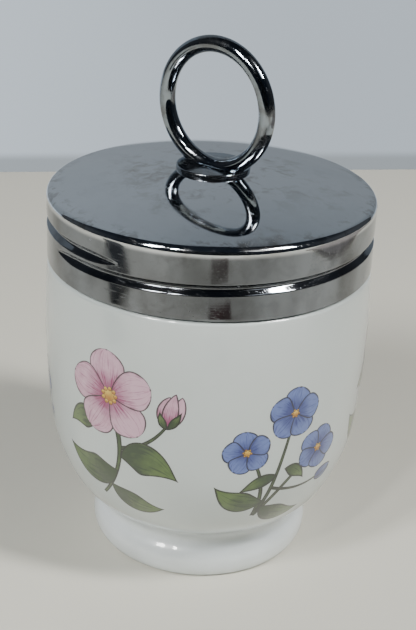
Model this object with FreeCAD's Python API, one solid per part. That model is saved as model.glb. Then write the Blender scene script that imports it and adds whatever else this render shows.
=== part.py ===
import FreeCAD, Part
import math
import os

# Egg coddler: a porcelain cup on a foot ring, closed by a pressed metal screw lid that carries
# an upright lifting ring. Millimetres. The origin is the centre of the foot's underside, +Z is up,
# and the lifting ring stands in the XZ plane while the lid is screwed down.

# --- screw thread shared by the cup's neck and the lid ---
pitch = 2.4                    # rise of one turn
flank_deg = 45.0               # slope of both threads' flanks, from the radial direction
flank_play = 0.155             # between facing flanks
crest_play = 0.3               # radial room between the lid's ridge and the neck behind it
lid_thread_start_deg = -102.0  # lower end of the lid's rolled thread, about +Z from +X
lid_thread_turns = 1.01
cup_thread_start_deg = -116.0  # lower end of the cup's moulded thread
cup_thread_turns = 1.27
cup_crest_round = 0.6          # soft crest of the moulded thread

# --- lid ---
lid_radius = 28.5              # outside of the skirt
lid_sheet = 0.4                # thickness of the pressed sheet
skirt_height = 11.1            # straight side, up to the bend
lid_corner_round = 1.2         # outside bend between dome and skirt
dome_radius = 104.0            # the lid's top is part of a sphere
groove_rise = 4.94             # middle of the groove's lower end above the skirt's lower edge
groove_depth = 0.8             # rolled groove, measured from the skirt's outside
groove_round = 0.4             # round at the bottom of the groove
groove_runout = 9.0            # straight length over which the rolling leaves the skirt
lid_edge_round = 0.15

# --- lifting ring, its base and the backing washer ---
wire_radius = 1.4
ring_radius = 10.4             # to the middle of the wire
ring_sink = 1.65               # how far the ring's circle reaches below the top of the base
base_radius = 6.4
base_thickness = 0.5           # at the middle, above the dome
base_round = 0.25
seat_floor = 0.12              # thickness of the base left under the ring
shank_radius = 1.6
washer_radius = 4.2
washer_thickness = 0.6
washer_bore_play = 0.06        # radial
washer_axial_play = 0.05       # on each face
peen_overlap = 1.1             # how far the peened head reaches past the shank
peen_height = 0.9

# --- cup ---
body_height = 55.15            # table to shoulder
rim_play = 0.15                # between the cup's rim and the lid's underside
shoulder_play = 0.25           # between the cup's shoulder and the skirt's lower edge
neck_wall = 3.0
rim_round = 1.0
neck_foot_round = 0.4
shoulder_round = 0.85
belly_swell = 0.47             # how far the widest part of the body stands out past the skirt
belly_drop = 10.15             # widest part below the shoulder
upper_side_radius = 105.0      # curve of the side from the belly up to the shoulder
lower_side_radius = 218.0      # curve of the side from the belly down to the bowl
bowl_height = 29.8             # where the bowl starts to close
bowl_mid_height = 19.8         # two points of the bowl: height, and how far in from the belly
bowl_mid_inset = 2.1
bowl_low_height = 11.8
bowl_low_inset = 6.25
bowl_start_deg = 35.0          # slope at which the bowl leaves the waist
waist_round = 2.4              # hollow between the foot's side and the bowl
foot_radius = 20.3
foot_widest_height = 3.0
foot_side_round = 3.7          # the foot's side, above its widest place
foot_lean_deg = 44.0           # how far the foot's side leans in where the hollow begins
foot_edge_deg = 30.0           # slope at which the foot leaves the table
foot_low_height = 1.0
foot_low_inset = 0.35          # this and the next are measured in from the foot's radius
foot_rest_inset = 1.15         # outer edge of the flat ring that stands on the table
foot_ring_width = 3.3          # width of that flat ring
recess_depth = 4.4
recess_taper = 1.0
floor_thickness = 4.2          # between the recess and the inside of the cup, at the middle
bowl_wall = 4.4                # wall at the bowl's middle point
cavity_low_radius = 14.0       # a point of the rounded floor inside
cavity_low_rise = 2.1
cavity_straight_height = 32.0  # above this the inside is a plain cylinder

# --- sizes that follow from the ones above ---
UP = FreeCAD.Vector(0, 0, 1)
OUTWARD = FreeCAD.Vector(1, 0, 0)
ORIGIN = FreeCAD.Vector(0, 0, 0)
cut_margin = 0.05              # how far a thread tool reaches past the wall that it meets

lid_edge_height = body_height + shoulder_play
lid_corner_height = lid_edge_height + skirt_height
groove_height = lid_edge_height + groove_rise
skirt_inner_radius = lid_radius - lid_sheet
groove_bottom_radius = lid_radius - groove_depth
lid_crest_radius = groove_bottom_radius - lid_sheet
lid_crest_round = groove_round + lid_sheet
neck_radius = lid_crest_radius - crest_play
mouth_radius = neck_radius - neck_wall

# the two threads run half a pitch apart, so their flanks would meet if both came to sharp crests
# that overlapped by sharp_overlap; rounding takes round * (1 / sin(flank) - 1) off each crest
flank = math.radians(flank_deg)
sharp_overlap = (pitch / 2 - flank_play / math.cos(flank)) / math.tan(flank)
crest_loss = (lid_crest_round + cup_crest_round) * (1 / math.sin(flank) - 1)
cup_crest_radius = lid_crest_radius + sharp_overlap - crest_loss

corner_centre_radius = lid_radius - lid_corner_round
dome_centre_height = lid_corner_height - math.sqrt(
    (dome_radius - lid_corner_round) ** 2 - corner_centre_radius**2
)
dome_inner_radius = dome_radius - lid_sheet
crown_height = dome_centre_height + dome_radius
base_top_height = crown_height + base_thickness
ring_centre_height = base_top_height - ring_sink + wire_radius + ring_radius
seat_height = crown_height + seat_floor

belly_radius = lid_radius + belly_swell
belly_height = body_height - belly_drop
foot_rest_radius = foot_radius - foot_rest_inset
recess_radius = foot_rest_radius - foot_ring_width
floor_height = recess_depth + floor_thickness


def dome_height(sphere_radius, radius):
    """Height of a sphere about the dome's centre, at a radius from the axis."""
    return dome_centre_height + math.sqrt(sphere_radius**2 - radius**2)


washer_top_height = dome_height(dome_inner_radius, washer_radius) - washer_axial_play
washer_height = washer_top_height - washer_thickness
peen_radius = shank_radius + peen_overlap
rim_flat_radius = neck_radius - rim_round
rim_height = dome_height(dome_inner_radius, rim_flat_radius) - rim_play


def point(radius, height):
    """A point of an outline, drawn in the XZ plane to the right of the axis."""
    return FreeCAD.Vector(radius, 0, height)


def on_arc(centre, radius, degrees):
    """The point of a circle in the XZ plane at an angle up from +X."""
    angle = math.radians(degrees)
    return centre + FreeCAD.Vector(radius * math.cos(angle), 0, radius * math.sin(angle))


class Outline:
    """A chain of lines, arcs and curves in the XZ plane."""

    def __init__(self, start):
        self.start = start
        self.at = start
        self.edges = []

    def line(self, end):
        self.edges.append(Part.LineSegment(self.at, end).toShape())
        self.at = end
        return self

    def arc(self, through, end):
        self.edges.append(Part.Arc(self.at, through, end).toShape())
        self.at = end
        return self

    def corner(self, centre, radius, start_deg, end_deg):
        """A round corner, joined by a straight line to what comes before it."""
        begin = on_arc(centre, radius, start_deg)
        if (begin - self.at).Length > 1e-6:
            self.line(begin)
        middle = on_arc(centre, radius, (start_deg + end_deg) / 2)
        return self.arc(middle, on_arc(centre, radius, end_deg))

    def curve(self, points, first_direction, last_direction):
        """A smooth curve through points, leaving and arriving in the directions given."""
        spline = Part.BSplineCurve()
        spline.interpolate(
            Points=[self.at] + points,
            InitialTangent=first_direction,
            FinalTangent=last_direction,
        )
        self.edges.append(spline.toShape())
        self.at = points[-1]
        return self

    def wire(self):
        if (self.at - self.start).Length > 1e-6:
            self.line(self.start)
        return Part.Wire(self.edges)

    def face(self):
        return Part.Face(self.wire())

    def turned(self):
        """The solid that the outline makes when it turns about the axis."""
        return self.face().revolve(ORIGIN, UP, 360)


def at_angle(shape, degrees, height):
    """A copy of a shape drawn in the XZ plane, turned about the axis and raised."""
    moved = shape.copy()
    moved.rotate(ORIGIN, UP, degrees)
    moved.translate(UP * height)
    return moved


def thread_section(crest, crest_round, back, outward):
    """A rounded V in the XZ plane, middle at height 0: its tip at radius crest, its back at radius back.

    outward is 1 where the tip points away from the axis, as on the cup, and -1 on the lid.
    """
    centre = point(crest - outward * crest_round, 0)
    touch = FreeCAD.Vector(outward * math.sin(flank), 0, math.cos(flank)) * crest_round
    upper = centre + touch
    lower = point(upper.x, -upper.z)
    half_width = upper.z + abs(back - upper.x) / math.tan(flank)
    outline = Outline(point(back, half_width))
    outline.line(upper).arc(point(crest, 0), lower).line(point(back, -half_width))
    return outline.wire()


def helical_thread(section, start_deg, turns, height, radius):
    """The section swept along the helix that starts at an angle and a height."""
    path = Part.makeHelix(pitch, pitch * turns, radius)
    solid = Part.Wire(path.Edges).makePipeShell([section], True, True)
    return at_angle(solid, start_deg, height)


def straight_runout(section, degrees, height, direction):
    """The section led off along the helix's tangent, the way a rolling wheel leaves the sheet."""
    rise = pitch * groove_runout / (2 * math.pi * groove_bottom_radius)
    path = FreeCAD.Vector(0, direction * groove_runout, direction * rise)
    return at_angle(Part.Face(section).extrude(path), degrees, height)


def rounded_end(section, degrees, height, direction):
    """Half a turn of the section about its own radial middle line, which closes a moulded thread."""
    upper_half = Part.makeBox(lid_radius + pitch, pitch, pitch, FreeCAD.Vector(0, -pitch / 2, 0))
    half = Part.Face(section).common(upper_half)
    return at_angle(half.revolve(ORIGIN, OUTWARD, -direction * 180), degrees, height)


def lid_thread_tools(crest, crest_round, back):
    """The lid's thread as solids: the sweep and a run-out at each end."""
    section = thread_section(crest, crest_round, back, -1)
    end_deg = lid_thread_start_deg + 360 * lid_thread_turns
    end_height = groove_height + pitch * lid_thread_turns
    return [
        helical_thread(section, lid_thread_start_deg, lid_thread_turns, groove_height, crest),
        straight_runout(section, lid_thread_start_deg, groove_height, -1),
        straight_runout(section, end_deg, end_height, 1),
    ]


def make_lid_shell():
    """Pressed dome and skirt of one sheet, with a thread rolled into the skirt."""
    corner_centre = point(corner_centre_radius, lid_corner_height)
    bend_deg = math.degrees(math.acos(corner_centre_radius / (dome_radius - lid_corner_round)))
    dome_centre = point(0, dome_centre_height)
    half_bend = (90 + bend_deg) / 2
    edge_centre = point(lid_radius - lid_edge_round, lid_edge_height + lid_edge_round)

    outside = Outline(point(0, lid_edge_height)).line(point(0, crown_height))
    outside.arc(on_arc(dome_centre, dome_radius, half_bend), on_arc(dome_centre, dome_radius, bend_deg))
    outside.corner(corner_centre, lid_corner_round, bend_deg, 0)
    outside.corner(edge_centre, lid_edge_round, 0, -90)
    body = outside.turned()

    below = lid_edge_height - lid_sheet
    inside = Outline(point(0, below)).line(point(0, dome_centre_height + dome_inner_radius))
    inside.arc(
        on_arc(dome_centre, dome_inner_radius, half_bend),
        on_arc(dome_centre, dome_inner_radius, bend_deg),
    )
    inside.corner(corner_centre, lid_corner_round - lid_sheet, bend_deg, 0)
    inside.line(point(skirt_inner_radius, below))
    ridges = lid_thread_tools(lid_crest_radius, lid_crest_round, skirt_inner_radius + cut_margin)
    room = inside.turned().cut(ridges)

    grooves = lid_thread_tools(groove_bottom_radius, groove_round, lid_radius + cut_margin)
    hole = Part.makeCylinder(shank_radius, base_top_height, ORIGIN, UP)
    return body.cut([room, hole] + grooves)


def make_lifting_ring():
    """Closed wire ring, flattened underneath where it is brazed into its base."""
    ring = Part.makeTorus(ring_radius, wire_radius, UP * ring_centre_height, FreeCAD.Vector(0, 1, 0))
    reach = 2 * ring_radius
    corner = FreeCAD.Vector(-reach / 2, -reach / 2, seat_height - reach)
    return ring.cut(Part.makeBox(reach, reach, reach, corner))


def make_ring_base(ring):
    """Turned disc that sits on the dome, seats the ring and is peened over inside the lid."""
    dome_centre = point(0, dome_centre_height)
    edge_deg = math.degrees(math.acos(base_radius / dome_radius))
    disc = Outline(point(0, base_top_height))
    disc.corner(point(base_radius - base_round, base_top_height - base_round), base_round, 90, 0)
    disc.line(on_arc(dome_centre, dome_radius, edge_deg))
    disc.arc(on_arc(dome_centre, dome_radius, (90 + edge_deg) / 2), point(0, crown_height))

    peen_top = washer_height - washer_axial_play
    shank = Part.makeCylinder(shank_radius, crown_height - peen_top, UP * peen_top, UP)
    head_sphere = (peen_radius**2 + peen_height**2) / (2 * peen_height)
    head_centre = point(0, peen_top - peen_height + head_sphere)
    head_deg = math.degrees(math.asin(peen_radius / head_sphere))
    peen = Outline(point(0, peen_top)).line(point(peen_radius, peen_top))
    peen.arc(on_arc(head_centre, head_sphere, head_deg / 2 - 90), point(0, peen_top - peen_height))
    return disc.turned().fuse([shank, peen.turned()]).cut(ring).removeSplitter()


def make_backing_washer():
    """Flat washer under the dome that spreads the load of the peened shank."""
    disc = Part.makeCylinder(washer_radius, washer_thickness, UP * washer_height, UP)
    bore_radius = shank_radius + washer_bore_play
    return disc.cut(Part.makeCylinder(bore_radius, washer_thickness, UP * washer_height, UP))


def foot_and_bowl():
    """The cup's outline from the middle of the recess, round the foot and up to the widest part."""
    outline = Outline(point(0, recess_depth)).line(point(recess_radius - recess_taper, recess_depth))
    outline.line(point(recess_radius, 0)).line(point(foot_rest_radius, 0))
    outline.curve(
        [point(foot_radius - foot_low_inset, foot_low_height), point(foot_radius, foot_widest_height)],
        on_arc(ORIGIN, 1, foot_edge_deg),
        UP,
    )
    foot_centre = point(foot_radius - foot_side_round, foot_widest_height)
    outline.corner(foot_centre, foot_side_round, 0, foot_lean_deg)
    waist_centre = on_arc(foot_centre, foot_side_round + waist_round, foot_lean_deg)
    outline.corner(waist_centre, waist_round, 180 + foot_lean_deg, 90 + bowl_start_deg)

    side_centre = point(belly_radius - lower_side_radius, belly_height)
    side_deg = math.degrees(math.asin((bowl_height - belly_height) / lower_side_radius))
    outline.curve(
        [
            point(belly_radius - bowl_low_inset, bowl_low_height),
            point(belly_radius - bowl_mid_inset, bowl_mid_height),
            on_arc(side_centre, lower_side_radius, side_deg),
        ],
        on_arc(ORIGIN, 1, bowl_start_deg),
        on_arc(ORIGIN, 1, 90 + side_deg),
    )
    outline.arc(
        on_arc(side_centre, lower_side_radius, side_deg / 2),
        on_arc(side_centre, lower_side_radius, 0),
    )
    return outline


def make_cup():
    """Porcelain bowl on a foot ring, with a neck that carries the moulded thread."""
    outline = foot_and_bowl()

    # above the widest part the side is one arc that leads smoothly into the shoulder's round
    rise = body_height - shoulder_round - belly_height
    side_centre = point(belly_radius - upper_side_radius, belly_height)
    lean_deg = math.degrees(math.asin(rise / (upper_side_radius - shoulder_round)))
    shoulder_centre = on_arc(side_centre, upper_side_radius - shoulder_round, lean_deg)
    outline.arc(
        on_arc(side_centre, upper_side_radius, lean_deg / 2),
        on_arc(side_centre, upper_side_radius, lean_deg),
    )
    outline.corner(shoulder_centre, shoulder_round, lean_deg, 90)
    neck_foot_centre = point(neck_radius + neck_foot_round, body_height + neck_foot_round)
    outline.corner(neck_foot_centre, neck_foot_round, 270, 180)
    outline.corner(point(rim_flat_radius, rim_height - rim_round), rim_round, 0, 90)
    outline.corner(point(mouth_radius + rim_round, rim_height - rim_round), rim_round, 90, 180)
    outline.line(point(mouth_radius, cavity_straight_height))
    outline.curve(
        [
            point(belly_radius - bowl_mid_inset - bowl_wall, bowl_mid_height),
            point(cavity_low_radius, floor_height + cavity_low_rise),
            point(0, floor_height),
        ],
        -UP,
        -OUTWARD,
    )
    body = outline.turned()

    section = thread_section(cup_crest_radius, cup_crest_round, neck_radius - cut_margin, 1)
    start_turns = (cup_thread_start_deg - lid_thread_start_deg) / 360
    start_height = groove_height + pitch * (start_turns + 1 / 2)
    end_deg = cup_thread_start_deg + 360 * cup_thread_turns
    end_height = start_height + pitch * cup_thread_turns
    sweep = helical_thread(section, cup_thread_start_deg, cup_thread_turns, start_height, cup_crest_radius)
    start = rounded_end(section, cup_thread_start_deg, start_height, -1)
    thread = sweep.fuse([start, rounded_end(section, end_deg, end_height, 1)])
    return body.fuse(thread)


lifting_ring = make_lifting_ring()
pieces = {
    "cup": make_cup(),
    "lid_shell": make_lid_shell(),
    "lifting_ring": lifting_ring,
    "ring_base": make_ring_base(lifting_ring),
    "backing_washer": make_backing_washer(),
}

os.makedirs("parts", exist_ok=True)
for name, shape in pieces.items():
    box = shape.BoundBox
    print(
        f"{name}: {len(shape.Solids)} solid, valid {shape.isValid()}, volume {shape.Volume:.1f} mm3, "
        f"x {box.XMin:.2f}..{box.XMax:.2f}, z {box.ZMin:.2f}..{box.ZMax:.2f}"
    )
    shape.exportStep(f"parts/{name}.step")
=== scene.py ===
# %% [markdown]
# # Dressing a porcelain egg coddler
#
# An egg coddler is a small lidded cup in which an egg is cooked gently in hot water. This one has a
# white porcelain body with printed flowers, a chromed screw lid pressed from sheet, and a wire ring
# for lifting it out of the pan. The lesson builds smooth visible meshes around a finished
# engineering model, prints the flowers on the glaze, gives every surface its finish, and lights the
# whole as on a table top.

# %% Load the engineering model
import math

import bpy
import numpy as np
from mathutils import Matrix, Quaternion, Vector


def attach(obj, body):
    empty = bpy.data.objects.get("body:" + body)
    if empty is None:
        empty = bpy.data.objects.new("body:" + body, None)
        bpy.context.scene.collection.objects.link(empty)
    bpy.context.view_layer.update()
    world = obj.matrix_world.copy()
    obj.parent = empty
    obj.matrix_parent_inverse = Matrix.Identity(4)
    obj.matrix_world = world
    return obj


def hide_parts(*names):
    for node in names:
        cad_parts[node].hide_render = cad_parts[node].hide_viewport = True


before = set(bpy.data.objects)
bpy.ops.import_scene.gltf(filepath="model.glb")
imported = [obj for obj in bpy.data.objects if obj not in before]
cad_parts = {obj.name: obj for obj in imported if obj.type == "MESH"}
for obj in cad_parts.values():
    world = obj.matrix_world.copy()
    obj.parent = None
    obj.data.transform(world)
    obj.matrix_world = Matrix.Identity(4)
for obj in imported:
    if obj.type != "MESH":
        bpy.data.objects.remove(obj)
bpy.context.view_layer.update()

MM = 0.001
print("nodes:", sorted(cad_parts))

# %% [markdown]
# ## Measures
#
# A maker's drawing gives these in millimetres. They are the sizes of the engineering model, so
# every visible mesh lands exactly on the solid that it dresses. Heights count from the table and
# radii from the cup's axis.

# %% Lid, ring and thread
lid_radius = 28.5
lid_sheet = 0.4
lid_edge_height = 55.4
lid_corner_height = 66.5
lid_corner_round = 1.2
dome_radius = 104.0
pitch = 2.4
groove_start_deg = -102.0
groove_height = 60.34
groove_turns = 1.01
groove_depth = 0.8
groove_round = 0.4

wire_radius = 1.4
ring_radius = 10.4
ring_sink = 1.65
base_thickness = 0.5
seat_floor = 0.12
shank_radius = 1.6

corner_centre_radius = lid_radius - lid_corner_round
dome_centre_height = lid_corner_height - math.sqrt(
    (dome_radius - lid_corner_round) ** 2 - corner_centre_radius**2
)
crown_height = dome_centre_height + dome_radius
base_top_height = crown_height + base_thickness
ring_centre_height = base_top_height - ring_sink + wire_radius + ring_radius
print(f"crown {crown_height:.2f} mm, ring centre {ring_centre_height:.2f} mm")

# %% Cup
body_height = 55.15
shoulder_round = 0.85
neck_radius = 27.0
mouth_radius = 24.0
rim_round = 1.0
rim_play = 0.15
belly_radius = 28.97
belly_height = 45.0
bowl_height = 29.8
upper_side_radius = 105.0
lower_side_radius = 218.0
waist_round = 2.4
foot_radius = 20.3
foot_widest_height = 3.0
foot_side_round = 3.7
foot_low_height = 1.0
foot_low_inset = 0.35
foot_rest_radius = 19.15
recess_radius = 15.85
recess_depth = 4.4
recess_taper = 1.0
floor_height = 8.6
foot_lean_deg = 44
foot_edge_deg = 30
bowl_start_deg = 35
bowl_low_height, bowl_low_inset = 11.8, 6.25
bowl_mid_height, bowl_mid_inset = 19.8, 2.1
cup_thread_start_deg = -116.0
cup_thread_turns = 1.27
cup_thread_crest = 0.701
cup_thread_round = 0.6

# %% [markdown]
# ## Outlines and turned meshes
#
# Cups, lids and discs are all turned about one axis. A Screw modifier could spin a curve, but a
# screw thread isn't round: its radius changes with the angle. So each shape is a grid of rings,
# with one radius and one height for each outline point at each angle, and a thread is a small
# change to the radii. The grid is closed along the outline, so the mesh has no open edges.

# %% Outline helpers
def arc(centre, radius, start_deg, end_deg, steps):
    """Points of an arc, as (radius, height) pairs."""
    angles = np.radians(np.linspace(start_deg, end_deg, steps + 1))
    return [(centre[0] + radius * math.cos(a), centre[1] + radius * math.sin(a)) for a in angles]


def line(start, end, steps):
    """Evenly spaced points from start up to, but without, end."""
    start, end = np.array(start), np.array(end)
    return [tuple(start + (end - start) * i / steps) for i in range(steps)]


def soft_curve(points, start_deg, end_deg, steps):
    """A smooth curve through points that leaves and arrives at the angles given, without its end."""
    points = [np.array(p, float) for p in points]
    chords = [b - a for a, b in zip(points, points[1:])]
    lengths = [np.linalg.norm(c) for c in chords]
    ways = [np.array([math.cos(a), math.sin(a)]) for a in np.radians([start_deg, end_deg])]
    tangents = [ways[0]]
    for i in range(1, len(chords)):
        mean = chords[i - 1] / lengths[i - 1] ** 2 + chords[i] / lengths[i] ** 2
        tangents.append(mean / np.linalg.norm(mean))
    tangents.append(ways[1])
    curve = []
    for i, length in enumerate(lengths):
        for t in np.arange(steps) / steps:
            a = 2 * t**3 - 3 * t**2 + 1
            b = t**3 - 2 * t**2 + t
            d = t**3 - t**2
            bends = b * tangents[i] * length + d * tangents[i + 1] * length
            curve.append(tuple(a * points[i] + (1 - a) * points[i + 1] + bends))
    return curve


# %% Mesh objects
def mesh_object(name, vertices, faces, sharp_deg=40):
    """A smooth-shaded mesh object in metres from vertices in millimetres."""
    mesh = bpy.data.meshes.new(name)
    mesh.from_pydata((np.asarray(vertices) * MM).tolist(), [], faces)
    mesh.validate()
    mesh.shade_smooth()
    mesh.set_sharp_from_angle(angle=math.radians(sharp_deg))
    piece = bpy.data.objects.new(name, mesh)
    bpy.context.collection.objects.link(piece)
    print(f"{name}: {len(mesh.vertices)} vertices, {len(mesh.polygons)} faces")
    return piece


def loop_faces(rows, columns, closed_rows):
    """Quads of a grid that is closed across, and along too where closed_rows is true."""
    faces = []
    for i in range(rows if closed_rows else rows - 1):
        k = (i + 1) % rows
        for j in range(columns):
            m = (j + 1) % columns
            faces.append((i * columns + j, i * columns + m, k * columns + m, k * columns + j))
    return faces


def ring_grid(name, radii, heights, sharp_deg=40):
    """A turned mesh. Row i of radii and heights is the ring of outline point i.

    An outline that starts and ends on the axis gets a pole at each end, and any other is a loop.
    """
    rows, columns = radii.shape
    angles = np.radians(np.arange(columns) * 360 / columns)
    grid = np.stack([radii * np.cos(angles), radii * np.sin(angles), heights], axis=-1)
    if radii[0, 0] > 0:
        return mesh_object(name, grid.reshape(-1, 3), loop_faces(rows, columns, True), sharp_deg)

    rings = grid[1:-1].reshape(-1, 3)
    vertices = np.concatenate([rings, [[0, 0, heights[0, 0]], [0, 0, heights[-1, 0]]]])
    faces = loop_faces(rows - 2, columns, False)
    last = (rows - 3) * columns
    start, end = len(rings), len(rings) + 1
    faces += [(start, (j + 1) % columns, j) for j in range(columns)]
    faces += [(end, last + j, last + (j + 1) % columns) for j in range(columns)]
    return mesh_object(name, vertices, faces, sharp_deg)


# %% [markdown]
# ## The thread
#
# The lid's thread is rolled: a wheel presses a groove into the skirt while the lid turns and
# climbs. The cup's thread is moulded, a soft ridge with rounded ends. Both are the same rounded V
# that winds up by one pitch a turn, so one function gives its height above the plain wall at any
# angle and height. At the groove's ends the wheel leaves the sheet along a straight line, which
# makes the groove fade out over a few millimetres.

# %% Height of a thread above its wall
def rounded_v(offset, crest, tip_round):
    """Height of a 45 degree V with a rounded tip, at an axial offset from its middle."""
    touch = tip_round * math.sin(math.pi / 4)
    offset = np.abs(offset)
    tip = crest - tip_round + np.sqrt(np.maximum(tip_round**2 - offset**2, 0))
    flank = crest - tip_round + touch - (offset - touch)
    return np.where(offset < touch, tip, flank)


def soft_positive(height, softness):
    """Keeps a height where it is positive, with a soft bend where it meets the wall."""
    return np.where(height > softness, height, np.maximum(height + softness, 0) ** 2 / (4 * softness))


def thread_height(angles_deg, heights, start, turns, crest, tip_round, runout_radius=0):
    """Height of the whole thread over a grid of angles and heights. Start is (angle, height).

    With runout_radius, the thread's ends leave along straight lines at that radius, as a rolled
    groove's do. Without it they are rounded off, as a moulded thread's are.
    """
    runout_limit_deg = 40
    total = np.full(np.broadcast(angles_deg, heights).shape, -1.0)
    for lap in (-1, 0, 1, 2):
        wound = (angles_deg - start[0]) % 360 + 360 * lap
        past = np.maximum(-wound, 0) + np.maximum(wound - 360 * turns, 0)
        middle = start[1] + pitch * wound / 360
        if runout_radius:
            near = past < runout_limit_deg
            past = np.minimum(past, runout_limit_deg)
            fade = runout_radius / np.cos(np.radians(past)) - runout_radius
            ridge = np.where(near, rounded_v(heights - middle, crest - fade, tip_round), -1)
        else:
            beyond = np.radians(past) * neck_radius
            ridge = rounded_v(np.hypot(heights - middle, beyond), crest, tip_round)
        total = np.maximum(total, ridge)
    return total


# %% [markdown]
# ## The cup
#
# The porcelain cup is one fired piece: foot ring, narrow waist, bowl, shoulder, and a neck that
# the lid hides. Its side is almost straight but never quite: it swells to a widest part below the
# shoulder, and that is what makes it look soft. The outline is built from the same arcs as the
# engineering model and is set in by the thickness of the print, which lies on top of the glaze.

# %% The cup's outline
print_depth = 0.03

side_centre = (belly_radius - lower_side_radius, belly_height)
side_deg = math.degrees(math.asin((bowl_height - belly_height) / lower_side_radius))
rise = body_height - shoulder_round - belly_height
upper_centre = (belly_radius - upper_side_radius, belly_height)
upper_deg = math.degrees(math.asin(rise / (upper_side_radius - shoulder_round)))
shoulder_centre = arc(upper_centre, upper_side_radius - shoulder_round, upper_deg, upper_deg, 1)[0]

rim_flat_radius = neck_radius - rim_round
dome_inside = math.sqrt((dome_radius - lid_sheet) ** 2 - rim_flat_radius**2)
rim_height = dome_centre_height + dome_inside - rim_play

foot_centre = (foot_radius - foot_side_round, foot_widest_height)
waist_centre = arc(foot_centre, foot_side_round + waist_round, foot_lean_deg, foot_lean_deg, 1)[0]
bowl_start = arc(waist_centre, waist_round, 90 + bowl_start_deg, 90 + bowl_start_deg, 1)[0]
bowl_end = arc(side_centre, lower_side_radius, side_deg, side_deg, 1)[0]

recess_edge = (recess_radius - recess_taper, recess_depth)
underside = [(0, recess_depth)] + line((0.5, recess_depth), recess_edge, 8)
underside += line(recess_edge, (recess_radius, 0), 5) + line((recess_radius, 0), (foot_rest_radius, 0), 4)
foot_low = (foot_radius - foot_low_inset, foot_low_height)
foot_points = [(foot_rest_radius, 0), foot_low, (foot_radius, foot_widest_height)]
foot = soft_curve(foot_points, foot_edge_deg, 90, 10)
foot += arc(foot_centre, foot_side_round, 0, foot_lean_deg, 12)[:-1]
waist = arc(waist_centre, waist_round, 180 + foot_lean_deg, 90 + bowl_start_deg, 14)[:-1]
bowl_low = (belly_radius - bowl_low_inset, bowl_low_height)
bowl_mid = (belly_radius - bowl_mid_inset, bowl_mid_height)
bowl_points = [bowl_start, bowl_low, bowl_mid, bowl_end]
bowl = soft_curve(bowl_points, bowl_start_deg, 90 + side_deg, 14)
side = arc(side_centre, lower_side_radius, side_deg, 0, 18)[:-1]
side += arc(upper_centre, upper_side_radius, 0, upper_deg, 12)[:-1]
shoulder = arc(shoulder_centre, shoulder_round, upper_deg, 90, 10)

outer_wall = foot + waist + bowl + side + shoulder
print(f"outer wall: {len(outer_wall)} points, widest {max(r for r, z in outer_wall):.2f} mm")

# %% Cup mesh
neck_foot = 0.4
thread_low, thread_high, thread_softness = 60.0, 66.0, 0.12
below_rim = 1.5
neck = line((neck_radius + neck_foot, body_height), (neck_radius, body_height + neck_foot), 3)
neck += line((neck_radius, body_height + neck_foot), (neck_radius, thread_low), 6)
neck += line((neck_radius, thread_low), (neck_radius, thread_high), 50)
rim = arc((rim_flat_radius, rim_height - rim_round), rim_round, 0, 90, 8)
rim += arc((mouth_radius + rim_round, rim_height - rim_round), rim_round, 90, 180, 8)
inside_bowl = [(mouth_radius, 32), (22.47, 19.8), (14, 10.7), (0.5, floor_height)]
inside = line((mouth_radius, rim_height - below_rim), inside_bowl[0], 8)
inside += soft_curve(inside_bowl, 270, 180, 12)
inside += [(0, floor_height)]

glaze = [(r - print_depth, z) for r, z in outer_wall]
outline = np.array(underside + glaze + neck + rim + inside)
cup_columns = 400
cup_angles = np.arange(cup_columns) * 360 / cup_columns
cup_radii = np.repeat(outline[:, :1], cup_columns, axis=1)
cup_heights = np.repeat(outline[:, 1:], cup_columns, axis=1)
on_neck = (outline[:, 0] == neck_radius) & (outline[:, 1] >= body_height + neck_foot)
turns_apart = (cup_thread_start_deg - groove_start_deg) / 360 + 1 / 2
thread_start = (cup_thread_start_deg, groove_height + pitch * turns_apart)
ridge = thread_height(
    cup_angles, cup_heights[on_neck], thread_start, cup_thread_turns, cup_thread_crest, cup_thread_round
)
cup_radii[on_neck] += soft_positive(ridge, thread_softness)
cup = ring_grid("porcelain_cup", cup_radii, cup_heights)
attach(cup, "cup")
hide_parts("cup")

# %% [markdown]
# ## The lid
#
# The lid is pressed from thin sheet: a very shallow dome, a tight bend, and a straight skirt with
# the thread rolled into it. In a mirror finish the eye reads the reflections, so the grid is fine
# where the groove lies, and the lip on each side of the groove is softly bent as sheet is. A real
# pressing is never a perfect sphere either: a slow waviness of about a hundredth of a millimetre,
# which its finish adds, bends what it mirrors.

# %% Lid outline
bend_deg = math.degrees(math.acos(corner_centre_radius / (dome_radius - lid_corner_round)))
dome_centre = (0, dome_centre_height)
corner_centre = (corner_centre_radius, lid_corner_height)
skirt_inner_radius = lid_radius - lid_sheet
hole_deg = math.degrees(math.acos(shank_radius / dome_radius))
band_low, band_high, groove_softness = 58.9, 64.6, 0.14
edge_round = 0.15

lid_outside = arc(dome_centre, dome_radius, hole_deg, bend_deg, 40)[:-1]
lid_outside += arc(corner_centre, lid_corner_round, bend_deg, 0, 14)[:-1]
lid_outside += line((lid_radius, lid_corner_height), (lid_radius, band_high), 6)
lid_outside += line((lid_radius, band_high), (lid_radius, band_low), 100)
lid_outside += line((lid_radius, band_low), (lid_radius, lid_edge_height + edge_round), 8)
lid_outside += arc((lid_radius - edge_round, lid_edge_height + edge_round), edge_round, 0, -90, 5)
lid_inside = line((skirt_inner_radius, lid_edge_height), (skirt_inner_radius, band_low), 5)
lid_inside += line((skirt_inner_radius, band_low), (skirt_inner_radius, band_high), 46)
lid_inside += line((skirt_inner_radius, band_high), (skirt_inner_radius, lid_corner_height), 4)
lid_inside += arc(corner_centre, lid_corner_round - lid_sheet, 0, bend_deg, 8)[:-1]
lid_inside += arc(dome_centre, dome_radius - lid_sheet, bend_deg, hole_deg, 16)
print(f"lid outline: {len(lid_outside)} points outside, {len(lid_inside)} inside")

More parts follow.
